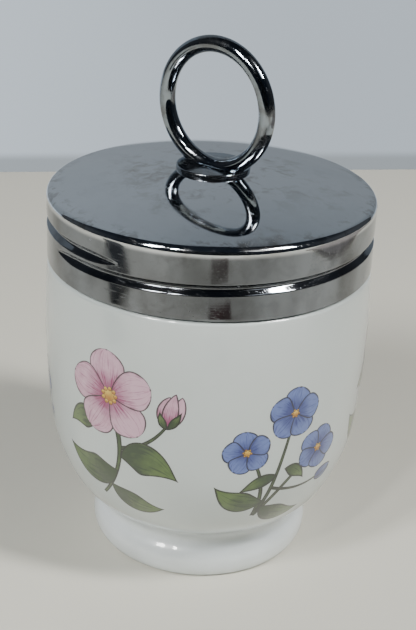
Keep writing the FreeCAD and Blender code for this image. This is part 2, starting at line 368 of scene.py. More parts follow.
# %% Lid mesh
lid_outline = np.array(lid_outside + lid_inside)
lid_columns = 600
lid_angles = np.arange(lid_columns) * 360 / lid_columns
lid_radii = np.repeat(lid_outline[:, :1], lid_columns, axis=1)
lid_heights = np.repeat(lid_outline[:, 1:], lid_columns, axis=1)
in_band = (lid_outline[:, 1] >= band_low) & (lid_outline[:, 1] <= band_high)
outer = in_band & (lid_outline[:, 0] == lid_radius)
inner = in_band & (lid_outline[:, 0] == skirt_inner_radius)
groove_start = (groove_start_deg, groove_height)
for rows, tip_round in ((outer, groove_round), (inner, groove_round + lid_sheet)):
    pressed = thread_height(
        lid_angles, lid_heights[rows], groove_start, groove_turns, groove_depth, tip_round,
        lid_radius - groove_depth,
    )
    lid_radii[rows] -= soft_positive(pressed, groove_softness)

lid = ring_grid("pressed_lid", lid_radii, lid_heights, sharp_deg=60)
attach(lid, "lid")
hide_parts("lid_shell")

# %% [markdown]
# ## The ring and its joint
#
# The ring is bent from wire and brazed upright into a seat in a thin turned disc, which keeps its
# engineering solid. A torus grid gives the ring, flat where it stands in its seat. Braze metal
# creeps out of the seat and up the wire as a narrow fillet. The fillet follows the outline in
# which the wire cuts the disc's top, and that outline is the section of a torus by a plane.

# %% Lifting ring
def torus(name, major, minor, centre_height, floor, around=224, across=48):
    """A ring that stands in the XZ plane and is flat below the height floor."""
    turn = np.radians(np.arange(around) * 360 / around)[:, None]
    roll = np.radians(np.arange(across) * 360 / across)[None, :]
    reach = major + minor * np.cos(roll)
    x = reach * np.cos(turn)
    z = np.maximum(centre_height + reach * np.sin(turn), floor)
    y = np.broadcast_to(minor * np.sin(roll), x.shape)
    vertices = np.stack([x, y, z], axis=-1).reshape(-1, 3)
    return mesh_object(name, vertices, loop_faces(around, across, True), 70)


seat_height = crown_height + seat_floor
ring = torus("wire_ring", ring_radius, wire_radius, ring_centre_height, seat_height)
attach(ring, "lid")
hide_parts("lifting_ring")

# %% Braze fillet
def wire_section(height, grow, count=120):
    """Outline in which the wire, made thicker by grow, meets a level plane, as (x, y) points.

    The growth is less at the two ends, where the wire comes close to the edge of its disc.
    """
    turn = np.radians(np.arange(count) * 360 / count)
    minor = wire_radius + grow * (1 - 0.6 * np.cos(turn) ** 4)
    drop = ring_centre_height - height
    x = math.sqrt((ring_radius + minor[0]) ** 2 - drop**2) * np.cos(turn)
    off_circle = np.hypot(x, drop) - ring_radius
    y = np.sqrt(np.maximum(minor**2 - off_circle**2, 0)) * np.sign(np.sin(turn))
    return np.stack([x, y, np.full_like(x, height)], axis=-1)


fillet_rise, fillet_reach, fillet_edge, sunk = 0.42, 0.36, 0.01, 0.08
fillet_rows = []
for sweep in np.linspace(0, math.pi / 2, 9):
    height = base_top_height + fillet_rise * (1 - math.sin(sweep))
    fillet_rows.append(wire_section(height, fillet_reach * (1 - math.cos(sweep)) + fillet_edge))
fillet_rows.append(wire_section(base_top_height - sunk, fillet_reach))
fillet_rows.append(wire_section(base_top_height - sunk, -sunk))
fillet_rows.append(wire_section(base_top_height + fillet_rise, -sunk))
fillet_grid = np.array(fillet_rows)
fillet_faces = loop_faces(*fillet_grid.shape[:2], True)
fillet = mesh_object("braze_fillet", fillet_grid.reshape(-1, 3), fillet_faces, 60)
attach(fillet, "lid")

# %% [markdown]
# ## Printed flowers
#
# Flowers on porcelain are transfers: ceramic inks printed on film, slid onto the glaze and fired.
# An image texture is the usual way to show them. Here each leaf and petal is a real, very thin
# plate of ink that follows the wall, because a shape in the mesh stays crisp at any distance. A
# plate is drawn flat in millimetres, as a midrib with a width along it, and then laid on the wall:
# sideways becomes an angle about the axis, and upwards becomes a length along the outline.

# %% Laying a drawing on the wall
skin = np.array([(r - print_depth, z) for r, z in outer_wall[len(foot) + len(waist):-4]])
skin_steps = np.diff(skin, axis=0)
skin_length = np.concatenate([[0], np.cumsum(np.hypot(*skin_steps.T))])
skin_slope = np.gradient(skin, skin_length, axis=0)
ink_floor = -0.006
ink_lift = 0.005
ink_layer = 0.0034
print(f"the wall is {skin_length[-1]:.1f} mm long from waist to shoulder")


def on_wall(spray, u, v, lift):
    """Points in space for a drawing's points, at a height above the glaze."""
    middle_deg, height, scale, tilt = spray
    along = np.interp(height, skin[:, 1], skin_length)
    lean = math.radians(tilt)
    sideways = (u * math.cos(lean) - v * math.sin(lean)) * scale
    upwards = along + (u * math.sin(lean) + v * math.cos(lean)) * scale
    radius, z, run, climb = (
        np.interp(upwards, skin_length, column)
        for column in (skin[:, 0], skin[:, 1], skin_slope[:, 0], skin_slope[:, 1])
    )
    angle = math.radians(middle_deg) + sideways / radius
    radius = radius + climb * lift
    return np.stack([radius * np.cos(angle), radius * np.sin(angle), z - run * lift], axis=-1)


# %% Plates of ink
def midrib(points, rows):
    """Points and sideways directions along a Bezier curve through flat control points."""
    t = np.linspace(0, 1, rows + 1)[:, None]
    points = [np.array(p, float) for p in points]
    if len(points) == 2:
        points.insert(1, (points[0] + points[1]) / 2)
    a, b, c = points
    place = (1 - t) ** 2 * a + 2 * t * (1 - t) * b + t**2 * c
    way = 2 * (1 - t) * (b - a) + 2 * t * (c - b)
    way /= np.linalg.norm(way, axis=1, keepdims=True)
    return place, np.stack([way[:, 1], -way[:, 0]], axis=1)


def edge_distance(u, v):
    """Distance of every point of a plate's grid from the plate's outline."""
    rim = [np.stack([u[i], v[i]], axis=-1) for i in (0, -1)]
    rim += [np.stack([u[:, j], v[:, j]], axis=-1) for j in (0, -1)]
    rim = np.concatenate(rim)
    gap = np.hypot(u[..., None] - rim[:, 0], v[..., None] - rim[:, 1])
    return gap.min(axis=-1)


def plate(points, width, form, layer, rows=26, columns=10):
    """A leaf, petal or stem: its midrib, half width, form along it and layer of ink."""
    t = np.linspace(0, 1, rows + 1)
    across = np.linspace(-1, 1, columns + 1)
    place, aside = midrib(points, rows)
    half_width = np.maximum(width * form(t), 0.02)
    spread = half_width[:, None] * across
    u = place[:, :1] + aside[:, :1] * spread
    v = place[:, 1:] + aside[:, 1:] * spread
    return {"u": u, "v": v, "along": t[:, None] + 0 * u, "across": across + 0 * u, "layer": layer}


def leaf_form(t):
    """Half width along a leaf: pointed at both ends, widest a little before the middle."""
    return np.sin(math.pi * t**0.8) ** 1.15


def petal_form(t):
    """A petal is blunt, and widest beyond its middle."""
    return np.sin(math.pi * t**1.5) ** 0.55


def bud_form(t):
    """A petal that is still closed is widest near its foot."""
    return np.sin(math.pi * t**0.75) ** 0.7


def stem_form(t):
    """A stem gets thinner all the way."""
    return 1 - 0.45 * t


# %% Printing plates as one mesh
def printed(name, plates):
    """One closed mesh of many plates. Each entry is (spray, plate)."""
    vertices, faces = [], []
    values = {"along": [], "across": [], "edge": [], "tone": []}
    tone_source = np.random.default_rng(7)
    for spray, ink in plates:
        rows, columns = ink["u"].shape
        first, count = sum(len(block) for block in vertices), rows * columns
        lift = ink_lift + ink_layer * ink["layer"]
        vertices.append(on_wall(spray, ink["u"], ink["v"], lift).reshape(-1, 3))
        vertices.append(on_wall(spray, ink["u"], ink["v"], ink_floor).reshape(-1, 3))
        for i in range(rows - 1):
            for j in range(columns - 1):
                a = first + i * columns + j
                top = (a, a + 1, a + columns + 1, a + columns)
                faces += [top, tuple(v + count for v in reversed(top))]
        rim = [j for j in range(columns)]
        rim += [i * columns + columns - 1 for i in range(1, rows)]
        rim += [(rows - 1) * columns + j for j in range(columns - 2, -1, -1)]
        rim += [i * columns for i in range(rows - 2, 0, -1)]
        for a, b in zip(rim, rim[1:] + rim[:1]):
            faces.append((first + b, first + a, first + a + count, first + b + count))
        tone = np.full(count, tone_source.random())
        edge = edge_distance(ink["u"], ink["v"]).ravel()
        along, across = ink["along"].ravel(), ink["across"].ravel()
        for key, value in (("along", along), ("across", across), ("edge", edge), ("tone", tone)):
            values[key] += [value, value]
    piece = mesh_object(name, np.concatenate(vertices), faces)
    for key, blocks in values.items():
        layer = piece.data.attributes.new(key, "FLOAT", "POINT")
        layer.data.foreach_set("value", np.concatenate(blocks).astype(np.float32))
    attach(piece, "cup")
    return piece


# %% [markdown]
# ## Two sprays
#
# The decoration is a plain garden kind: a pink blossom with leaves and a bud, and a small spray of
# blue blossoms. They take turns round the cup, and each copy has its own size and tilt, as a
# decorator would lay single transfers.

# %% The drawing of each spray
leaves, pink, blue, stems, centres = [], [], [], [], []


def polar(centre, distance, degrees):
    """A flat point at a distance and angle from a centre."""
    angle = math.radians(degrees)
    return (centre[0] + distance * math.cos(angle), centre[1] + distance * math.sin(angle))


def blossom(spray, petals, centre, length, width, turn_deg):
    """Five petals around a centre, each lapping over the one before."""
    for i in range(5):
        way = turn_deg + 72 * i
        ends = [polar(centre, share * length, way + bend) for share, bend in ((0.02, 0), (0.5, 6), (1, 0))]
        petals.append((spray, plate(ends, width, petal_form, 2 + i, 30, 12)))


def round_form(t):
    """A round dot."""
    return 2 * np.sqrt(t * (1 - t))


def dots(spray, centre, radius, spread, count):
    """A round heart with a ring of small stamens on its edge."""
    spots = [(centre, spread, 7)]
    spots += [(polar(centre, spread, 360 * i / count), radius, 8) for i in range(count)]
    for (u, v), size, layer in spots:
        ends = [(u, v - size), (u, v + size)]
        centres.append((spray, plate(ends, size, round_form, layer, 14, 8)))


def rose_spray(spray):
    """One open pink blossom above a curved stem with three leaves and a bud."""
    flower = (0.0, 3.4)
    stems.append((spray, plate([(0.4, 0.5), (2.6, -7.0), (-3.4, -13.6)], 0.46, stem_form, 0, 44, 6)))
    stems.append((spray, plate([(1.0, -4.4), (5.6, -3.6), (8.4, 0.4)], 0.36, stem_form, 0, 30, 6)))
    leaves.append((spray, plate([(0.9, -5.9), (5.2, -4.2), (9.1, -8.7)], 2.7, leaf_form, 1, 34, 16)))
    leaves.append((spray, plate([(0.2, -8.3), (-4.6, -11.0), (-9.1, -6.6)], 2.6, leaf_form, 1, 34, 16)))
    leaves.append((spray, plate([(-1.4, -11.0), (1.9, -15.2), (6.1, -14.2)], 1.9, leaf_form, 1, 30, 14)))
    leaves.append((spray, plate([(-2.2, -1.6), (-5.6, -0.2), (-8.2, -2.9)], 1.9, leaf_form, 0, 30, 14)))
    blossom(spray, pink, flower, 6.8, 2.95, 90)
    dots(spray, flower, 0.34, 1.05, 9)
    for sideways, layer in ((-0.9, 2), (0.9, 3), (0.0, 4)):
        ends = [(8.4, 0.1), (8.9 + 1.5 * sideways, 2.6), (9.9 + 0.9 * sideways, 5.2 - 0.5 * abs(sideways))]
        pink.append((spray, plate(ends, 1.15, bud_form, layer, 22, 10)))
    for sideways in (-1, 1):
        ends = [(8.3, -0.3), (8.5 + 1.1 * sideways, 0.9), (9.0 + 1.5 * sideways, 2.5)]
        leaves.append((spray, plate(ends, 0.6, leaf_form, 5, 18, 8)))


def blue_spray(spray):
    """Three small blue blossoms and a bud on thin stems with narrow leaves."""
    root = (-1.4, -11.5)
    blossoms = (((0.2, 4.4), 3.7, 90), ((5.5, -1.3), 3.3, 70), ((-5.2, -1.0), 3.2, 106))
    for (u, v), length, turn_deg in blossoms:
        ends = [root, (0.25 * u - 0.2, -4.6), (0.92 * u, 0.92 * v - 0.6)]
        stems.append((spray, plate(ends, 0.34, stem_form, 0, 40, 6)))
        blossom(spray, blue, (u, v), length, 0.5 * length, turn_deg)
        dots(spray, (u, v), 0.17, 0.5, 6)
    stems.append((spray, plate([(-0.6, -6.4), (3.4, -7.6), (6.9, -6.2)], 0.28, stem_form, 0, 24, 6)))
    for sideways, layer in ((-0.55, 2), (0.55, 3)):
        ends = [(6.7, -6.3), (8.1, -5.9 + sideways), (9.5, -4.9 + 0.4 * sideways)]
        blue.append((spray, plate(ends, 0.8, bud_form, layer, 18, 8)))
    leaf_ends = (
        ([(-1.0, -8.6), (-4.9, -9.8), (-8.2, -6.4)], 1.8),
        ([(-1.1, -9.6), (2.2, -12.8), (6.0, -11.2)], 1.7),
        ([(-0.2, -4.4), (-2.7, -5.3), (-4.9, -7.2)], 1.0),
        ([(0.6, -3.6), (2.7, -3.7), (4.2, -5.6)], 1.0),
    )
    for ends, width in leaf_ends:
        leaves.append((spray, plate(ends, width, leaf_form, 1, 28, 10)))


# %% Laying the sprays round the cup
spray_places = (
    (rose_spray, -86, 35.0, 1.24, 4),
    (blue_spray, -24, 31.5, 1.36, -8),
    (rose_spray, 36, 35.5, 1.16, -14),
    (blue_spray, 94, 33.0, 1.30, 12),
    (rose_spray, 152, 34.5, 1.22, 10),
    (blue_spray, 213, 35.0, 1.24, -6),
)
for draw, middle_deg, height, scale, tilt in spray_places:
    draw((middle_deg, height, scale, tilt))

printed_leaves = printed("printed_leaves", leaves)
printed_pink = printed("printed_pink_petals", pink)
printed_blue = printed("printed_blue_petals", blue)
printed_stems = printed("printed_stems", stems)
printed_centres = printed("printed_centres", centres)

# %% [markdown]
# ## Shader helpers
#
# Materials are node trees. Short helpers keep them readable: one adds a node and sets or links its
# inputs, a few wrap the nodes for sums, ranges and mixes, and one turns a colour as seen on a screen
# into the linear values that shaders use.

# %% Nodes and sums
def node(tree, kind, inputs=None, **settings):
    """Adds a shader node. Each input is a value, or an output socket to link from."""
    made = tree.nodes.new("ShaderNode" + kind)
    for name, value in settings.items():
        setattr(made, name, value)
    for name, value in (inputs or {}).items():
        if isinstance(value, bpy.types.NodeSocket):
            tree.links.new(value, made.inputs[name])
        else:
            made.inputs[name].default_value = value
    return made


def maths(tree, operation, a, b=0.0):
    """A Math node on two numbers or sockets."""
    return node(tree, "Math", {0: a, 1: b}, operation=operation).outputs[0]


def plus(tree, a, b):
    """The sum of two numbers or sockets."""
    return maths(tree, "ADD", a, b)


def times(tree, a, b):
    """The product of two numbers or sockets."""
    return maths(tree, "MULTIPLY", a, b)


def ranged(tree, value, low, high, to_low=0.0, to_high=1.0):
    """Moves a value from one range to another, softly and without overshoot."""
    inputs = {"Value": value, "From Min": low, "From Max": high, "To Min": to_low, "To Max": to_high}
    return node(tree, "MapRange", inputs, interpolation_type="SMOOTHSTEP").outputs[0]


# %% Colours and materials
def mixed(tree, factor, a, b):
    """Colour a where the factor is 0, b where it is 1."""
    return node(tree, "Mix", {0: factor, 6: a, 7: b}, data_type="RGBA").outputs[2]


def screen_colour(red, green, blue):
    """Linear colour from screen values of 0 to 255."""
    linear = [(v / 255 + 0.055) / 1.055 for v in (red, green, blue)]
    return (*(v**2.4 for v in linear), 1.0)


def new_material(name, **inputs):
    """A material with a Principled shader whose plain inputs are set straight on its sockets."""
    material = bpy.data.materials.new(name)
    material.use_nodes = True
    shader = material.node_tree.nodes["Principled BSDF"]
    for label, value in inputs.items():
        shader.inputs[label.replace("_", " ")].default_value = value
    print("material", name)
    return material, material.node_tree, shader


def place_in_mm(tree):
    """Where a point lies on its own object, in millimetres."""
    place = node(tree, "TexCoord").outputs["Object"]
    return node(tree, "VectorMath", {0: place, "Scale": 1 / MM}, operation="SCALE").outputs[0]


def axis_distance(tree, place):
    """Distance of a point from its object's upright axis."""
    sides = node(tree, "SeparateXYZ", {0: place}).outputs
    squares = [maths(tree, "POWER", side, 2.0) for side in (sides[0], sides[1])]
    return maths(tree, "SQRT", plus(tree, *squares))


def bump_from(tree, shader, height, depth_mm):
    """Lets a height bend the shader's normal, with depth_mm between a height of 0 and of 1."""
    bump = node(tree, "Bump", {"Height": height, "Distance": depth_mm * MM, "Strength": 1.0})
    tree.links.new(bump.outputs[0], shader.inputs["Normal"])


# %% Node groups
def group_tree(name, inputs, outputs):
    """An empty shader node group with named inputs and outputs."""
    tree = bpy.data.node_groups.new(name, "ShaderNodeTree")
    for label, kind, value in inputs:
        socket = tree.interface.new_socket(name=label, in_out="INPUT", socket_type="NodeSocket" + kind)
        if value is not None:
            socket.default_value = value
    for label, kind in outputs:
        tree.interface.new_socket(name=label, in_out="OUTPUT", socket_type="NodeSocket" + kind)
    print("node group", name)
    return tree, tree.nodes.new("NodeGroupInput").outputs, tree.nodes.new("NodeGroupOutput").inputs


def use_group(tree, group, inputs):
    """Places a node group in a material with its own values."""
    return node(tree, "Group", inputs, node_tree=group).outputs


# %% [markdown]
# ## Shared effects
#
# Smudges, specks, scratches and a slight waviness turn up on glaze and on chrome alike, only with
# other sizes. Each is a node group that gives out a mask or a height, and each material places it
# with its own values. The shader itself stays in the material.

# %% Smudges
smudges, entry, leave = group_tree(
    "smudges",
    [("Place", "Vector", None), ("Scale", "Float", 0.1), ("From", "Float", 0.5), ("To", "Float", 0.7)],
    [("Mask", "Float")],
)
bent = node(smudges, "TexNoise", {"Vector": entry["Place"], "Scale": entry["Scale"], "Detail": 2.0})
shift = node(smudges, "VectorMath", {0: bent.outputs["Color"], "Scale": 6.0}, operation="SCALE").outputs[0]
moved = node(smudges, "VectorMath", {0: entry["Place"], 1: shift}, operation="ADD").outputs[0]
cloud_inputs = {"Vector": moved, "Scale": entry["Scale"], "Detail": 7.0, "Roughness": 0.62}
cloud = node(smudges, "TexNoise", cloud_inputs).outputs["Fac"]
smudges.links.new(ranged(smudges, cloud, entry["From"], entry["To"]), leave["Mask"])


def smudge_mask(tree, place, scale, low, high):
    """Where smudges of one size lie: noise below low is clean, and above high it is smudge."""
    return use_group(tree, smudges, {"Place": place, "Scale": scale, "From": low, "To": high})["Mask"]


# %% Specks
specks, entry, leave = group_tree(
    "specks",
    [("Place", "Vector", None), ("Scale", "Float", 1.0), ("Size", "Float", 0.1), ("Share", "Float", 0.1)],
    [("Mask", "Float")],
)
cells = node(specks, "TexVoronoi", {"Vector": entry["Place"], "Scale": entry["Scale"]})
chosen = node(specks, "SeparateColor", {0: cells.outputs["Color"]}).outputs[0]
chosen = maths(specks, "LESS_THAN", chosen, entry["Share"])
inner_size = times(specks, entry["Size"], 0.5)
spot = ranged(specks, cells.outputs["Distance"], entry["Size"], inner_size)
specks.links.new(times(specks, spot, chosen), leave["Mask"])


def speck_mask(tree, place, scale, size, share):
    """Where specks lie: size is a speck's radius in cells, and share how many cells have one."""
    return use_group(tree, specks, {"Place": place, "Scale": scale, "Size": size, "Share": share})["Mask"]


# %% Scratches
scratches, entry, leave = group_tree(
    "scratches",
    [("Place", "Vector", None), ("Fineness", "Float", 3.0), ("Share", "Float", 0.3)],
    [("Mask", "Float")],
)
low_edge = maths(scratches, "SUBTRACT", 0.82, entry["Share"])
high_edge = plus(scratches, low_edge, 0.06)
stretched = (0.06, 1.0, 1.0)
total = 0.0
for turn_deg in (12, 71, 128):
    turned = (0.1, 0.07, math.radians(turn_deg))
    fibre_inputs = {"Vector": entry["Place"], "Rotation": turned, "Scale": stretched}
    fibre = node(scratches, "Mapping", fibre_inputs).outputs[0]
    streak = node(scratches, "TexNoise", {"Vector": fibre, "Scale": entry["Fineness"], "Detail": 1.0})
    total = plus(scratches, ranged(scratches, streak.outputs["Fac"], low_edge, high_edge), total)
scratches.links.new(maths(scratches, "MINIMUM", total, 1.0), leave["Mask"])

# %% Waviness
waviness, entry, leave = group_tree(
    "waviness",
    [
        ("Place", "Vector", None), ("Wave Scale", "Float", 0.1),
        ("Grain Scale", "Float", 2.0), ("Grain", "Float", 0.1),
    ],
    [("Height", "Float")],
)
wave = node(waviness, "TexNoise", {"Vector": entry["Place"], "Scale": entry["Wave Scale"], "Detail": 1.0})
grain = node(waviness, "TexNoise", {"Vector": entry["Place"], "Scale": entry["Grain Scale"], "Detail": 3.0})
grain = times(waviness, grain.outputs["Fac"], entry["Grain"])
waviness.links.new(plus(waviness, wave.outputs["Fac"], grain), leave["Height"])


def wavy_height(tree, place, wave_scale, grain_scale, grain_share):
    """Height of a slow wave that carries a finer grain."""
    inputs = {"Place": place, "Wave Scale": wave_scale, "Grain Scale": grain_scale, "Grain": grain_share}
    return use_group(tree, waviness, inputs)["Height"]


# %% [markdown]
# ## Glazed porcelain
#
# Porcelain is a white body under clear glass. A Principled shader with a full coat shows that: the
# body scatters light softly and the coat mirrors the lamps. Its colour is lighter and bluer low
# down, at the foot and in the waist, and its surface waves a little.
# Iron in the clay leaves a few dark pinpoints, and use leaves faint grey marks.

# %% Porcelain
porcelain, tree, shader = new_material("glazed_porcelain", IOR=1.5, Coat_Weight=1.0, Coat_Roughness=0.025)
place = place_in_mm(tree)
height = node(tree, "SeparateXYZ", {0: place}).outputs[2]
# The body colour is lighter and bluer low down, from the waist to the foot.
lighter_top, lighter_bottom = 13.0, 6.5
lighter_low = ranged(tree, height, lighter_top, lighter_bottom)
body_colour = mixed(tree, lighter_low, screen_colour(203, 212, 211), screen_colour(226, 233, 236))
cloud = smudge_mask(tree, place, 0.045, 0.45, 0.75)
body_colour = mixed(tree, times(tree, cloud, 0.35), body_colour, screen_colour(194, 203, 201))
grey_mark = smudge_mask(tree, place, 0.09, 0.66, 0.78)
body_colour = mixed(tree, times(tree, grey_mark, 0.12), body_colour, screen_colour(150, 150, 146))
pinpoint = speck_mask(tree, place, 0.16, 0.022, 0.10)
body_colour = mixed(tree, times(tree, pinpoint, 0.7), body_colour, screen_colour(120, 108, 92))
tree.links.new(body_colour, shader.inputs["Base Color"])
tree.links.new(ranged(tree, grey_mark, 0.0, 1.0, 0.30, 0.42), shader.inputs["Roughness"])
bump_from(tree, shader, wavy_height(tree, place, 0.11, 1.1, 0.05), 0.05)
cup.data.materials.append(porcelain)

# %% [markdown]
# ## Inks
#
# Ceramic inks sink into the glaze, so they keep its gloss. Each petal is a wash that goes from a
# pale to a deep tone, with fine darker strokes along it and a thin dark outline. The plates carry
# the numbers for this on their points: how far along and across a point lies, and how far it is
# from the edge. One node group turns them into a colour, so every ink is drawn by the same hand.

# %% Painted wash
wash, entry, leave = group_tree(
    "painted_wash",
    [
        ("Along", "Float", 0.0), ("Across", "Float", 0.0), ("Edge", "Float", 1.0), ("Tone", "Float", 0.5),
        ("Place", "Vector", None), ("Pale", "Color", None), ("Deep", "Color", None), ("Line", "Color", None),
        ("Deep From", "Float", 0.0), ("Deep To", "Float", 1.0), ("Strokes", "Float", 8.0),
        ("Stroke Strength", "Float", 0.4), ("Line Width", "Float", 0.12),
    ],
    [("Colour", "Color")],
)
patchy = node(wash, "TexNoise", {"Vector": entry["Place"], "Scale": 0.7, "Detail": 3.0}).outputs["Fac"]
depth = ranged(wash, entry["Along"], entry["Deep From"], entry["Deep To"])
depth = plus(wash, depth, times(wash, maths(wash, "SUBTRACT", patchy, 0.5), 0.9))
depth = plus(wash, depth, times(wash, maths(wash, "SUBTRACT", entry["Tone"], 0.5), 0.3))
stroke_place = node(
    wash, "CombineXYZ",
    {
        0: times(wash, entry["Across"], entry["Strokes"]),
        1: times(wash, entry["Along"], 1.6),
        2: times(wash, entry["Tone"], 40.0),
    },
).outputs[0]
strokes = node(wash, "TexNoise", {"Vector": stroke_place, "Scale": 1.0, "Detail": 2.0}).outputs["Fac"]
strokes = times(wash, ranged(wash, strokes, 0.5, 0.68), entry["Stroke Strength"])
depth = maths(wash, "MINIMUM", maths(wash, "MAXIMUM", plus(wash, depth, strokes), 0.0), 1.0)
colour = mixed(wash, depth, entry["Pale"], entry["Deep"])
outline_noise = times(wash, patchy, entry["Line Width"])
outline_width = plus(wash, outline_noise, times(wash, entry["Line Width"], 0.5))
outline_mask = ranged(wash, entry["Edge"], outline_width, times(wash, outline_width, 0.45))
colour = mixed(wash, times(wash, outline_mask, 0.95), colour, entry["Line"])
wash.links.new(colour, leave["Colour"])


# %% Ink materials
def ink_material(name, piece, tints, deep_range, strokes, strength, line_width):
    """A glazed-over ink that reads its plate's numbers. Tints are its pale, deep and outline colours."""
    material, tree, shader = new_material(name, IOR=1.5, Coat_Weight=1.0, Coat_Roughness=0.03)
    values = {
        key.title(): node(tree, "Attribute", attribute_name=key).outputs["Fac"]
        for key in ("along", "across", "edge", "tone")
    }
    place = place_in_mm(tree)
    pale, deep, line_tint = (screen_colour(*tint) for tint in tints)
    values.update({"Place": place, "Pale": pale, "Deep": deep, "Line": line_tint, "Line Width": line_width})
    values.update({"Deep From": deep_range[0], "Deep To": deep_range[1]})
    values.update({"Strokes": strokes, "Stroke Strength": strength})
    colour = use_group(tree, wash, values)["Colour"]
    dry = smudge_mask(tree, place, 0.5, 0.4, 0.7)
    tree.links.new(colour, shader.inputs["Base Color"])
    tree.links.new(ranged(tree, dry, 0.0, 1.0, 0.3, 0.4), shader.inputs["Roughness"])
    bump_from(tree, shader, wavy_height(tree, place, 0.5, 5.0, 0.4), 0.006)
    piece.data.materials.append(material)


leaf_tints = ((88, 114, 54), (30, 54, 18), (14, 18, 12))
pink_tints = ((214, 174, 194), (146, 52, 104), (40, 14, 26))
blue_tints = ((98, 118, 182), (36, 52, 124), (14, 16, 40))
stem_tints = ((78, 104, 48), (32, 56, 20), (16, 22, 12))
stamen_tints = ((230, 196, 84), (176, 116, 32), (60, 34, 14))
ink_material("leaf_ink", printed_leaves, leaf_tints, (0.9, 0.1), 5.0, 0.6, 0.32)
ink_material("pink_ink", printed_pink, pink_tints, (0.7, 0.0), 12.0, 0.55, 0.28)
ink_material("blue_ink", printed_blue, blue_tints, (0.8, 0.05), 8.0, 0.55, 0.26)
ink_material("stem_ink", printed_stems, stem_tints, (0.8, 0.0), 3.0, 0.3, 0.30)
ink_material("stamen_ink", printed_centres, stamen_tints, (0.9, 0.2), 3.0, 0.3, 0.1)

# %% [markdown]
# ## Chrome
#
# Chrome has no colour of its own to paint: what the eye calls chrome is the room in it. So the
# shader is a metal with a cool tint, nearly smooth, and the care goes into what breaks the mirror:
# dull patches where the plating is worn, wiped fingerprints, hair scratches, a few pits down to the
# brown base metal, brownish finger marks on the lid round its ring, stains near the lid's edge and,
# on the skirt, rubbed panels and the fine level lines that rolling leaves. The skirt and the ring
# are tinted darker than the lid's top, and the skirt's panels darker still: partly duller plating,
# partly painted shade in their reflections.

# %% Chrome with wear
def chrome_material(name, tint, worn_tint, wear, polish):
    """A plated metal. Wear is (patch scale, patch from, patch to, scratch share, pit share)."""
    patch_scale, patch_from, patch_to, scratch_share, pit_share = wear
    material, tree, shader = new_material(name)
    place = place_in_mm(tree)
    patch = smudge_mask(tree, place, patch_scale, patch_from, patch_to)
    wiped = smudge_mask(tree, place, patch_scale * 0.45, 0.42, 0.72)
    scratch = use_group(tree, scratches, {"Place": place, "Fineness": 2.6, "Share": scratch_share})["Mask"]
    pit = speck_mask(tree, place, 0.35, 0.10, pit_share)

    colour = mixed(tree, times(tree, patch, 0.55), tint, worn_tint)
    colour = mixed(tree, times(tree, pit, 0.9), colour, screen_colour(74, 52, 38))
    tree.links.new(colour, shader.inputs["Base Color"])
    tree.links.new(ranged(tree, pit, 0.0, 1.0, 1.0, 0.25), shader.inputs["Metallic"])

    rough = plus(tree, times(tree, patch, 0.16), times(tree, wiped, 0.05))
    rough = plus(tree, rough, times(tree, scratch, 0.12))
    rough = plus(tree, rough, times(tree, pit, 0.4))
    tree.links.new(plus(tree, rough, polish), shader.inputs["Roughness"])

    wavy = wavy_height(tree, place, 0.10, 0.9, 0.02)
    scored = times(tree, scratch, -0.02)
    height = plus(tree, wavy, scored)
    return material, tree, shader, place, height


def tone_over(tree, shader, mask, tint, rougher):
    """Lays another tint and more roughness over a finished chrome where the mask is white."""
    colour = shader.inputs["Base Color"].links[0].from_socket
    rough = shader.inputs["Roughness"].links[0].from_socket
    tree.links.new(mixed(tree, mask, colour, tint), shader.inputs["Base Color"])
    rough = plus(tree, rough, times(tree, mask, rougher))
    tree.links.new(rough, shader.inputs["Roughness"])


# %% The lid's chrome
lid_chrome, tree, shader, place, height = chrome_material(
    "lid_chrome", screen_colour(214, 218, 222), screen_colour(160, 152, 144),
    (0.11, 0.54, 0.74, 0.15, 0.08), 0.035,
)
level = node(tree, "SeparateXYZ", {0: place}).outputs[2]
from_axis = axis_distance(tree, place)
finger_start, finger_full = 22.0, 8.0
stain_start, stain_full = 25.0, 27.5
fingered = smudge_mask(tree, place, 0.24, 0.48, 0.66)
fingered = times(tree, fingered, ranged(tree, from_axis, finger_start, finger_full, 0.05, 0.6))
tone_over(tree, shader, fingered, screen_colour(150, 141, 132), 0.03)
stained = smudge_mask(tree, place, 0.34, 0.50, 0.62)
stained = times(tree, stained, ranged(tree, from_axis, stain_start, stain_full, 0.0, 0.4))
stained = times(tree, stained, ranged(tree, level, lid_corner_height, lid_corner_height + 0.4))
tone_over(tree, shader, stained, screen_colour(130, 122, 114), 0.03)

# The skirt is tinted darker than the top, and its rubbed panels darker still: partly duller, rubbed plating,
# partly painted shade for the shaded table in front that the skirt mirrors.
on_skirt = ranged(tree, level, lid_corner_height, lid_corner_height - 0.8)
tone_over(tree, shader, on_skirt, screen_colour(140, 145, 152), 0.01)
panel_place = node(tree, "VectorMath", {0: place, 1: (0.10, 0.10, 0.03)}, operation="MULTIPLY").outputs[0]
panels = node(tree, "TexNoise", {"Vector": panel_place, "Scale": 1.0, "Detail": 2.0}).outputs["Fac"]
blotches = smudge_mask(tree, place, 0.22, 0.42, 0.66)
rubbed_and_shaded = plus(tree, ranged(tree, panels, 0.40, 0.60, 0.0, 0.7), times(tree, blotches, 0.3))
tone_over(tree, shader, times(tree, rubbed_and_shaded, on_skirt), screen_colour(102, 104, 107), 0.06)

level_place = node(tree, "CombineXYZ", {2: level}).outputs[0]
rolled = node(tree, "TexNoise", {"Vector": level_place, "Scale": 2.4, "Detail": 4.0}).outputs["Fac"]
rolled = times(tree, rolled, times(tree, on_skirt, 0.12))
bump_from(tree, shader, plus(tree, height, rolled), 0.012)
lid.data.materials.append(lid_chrome)

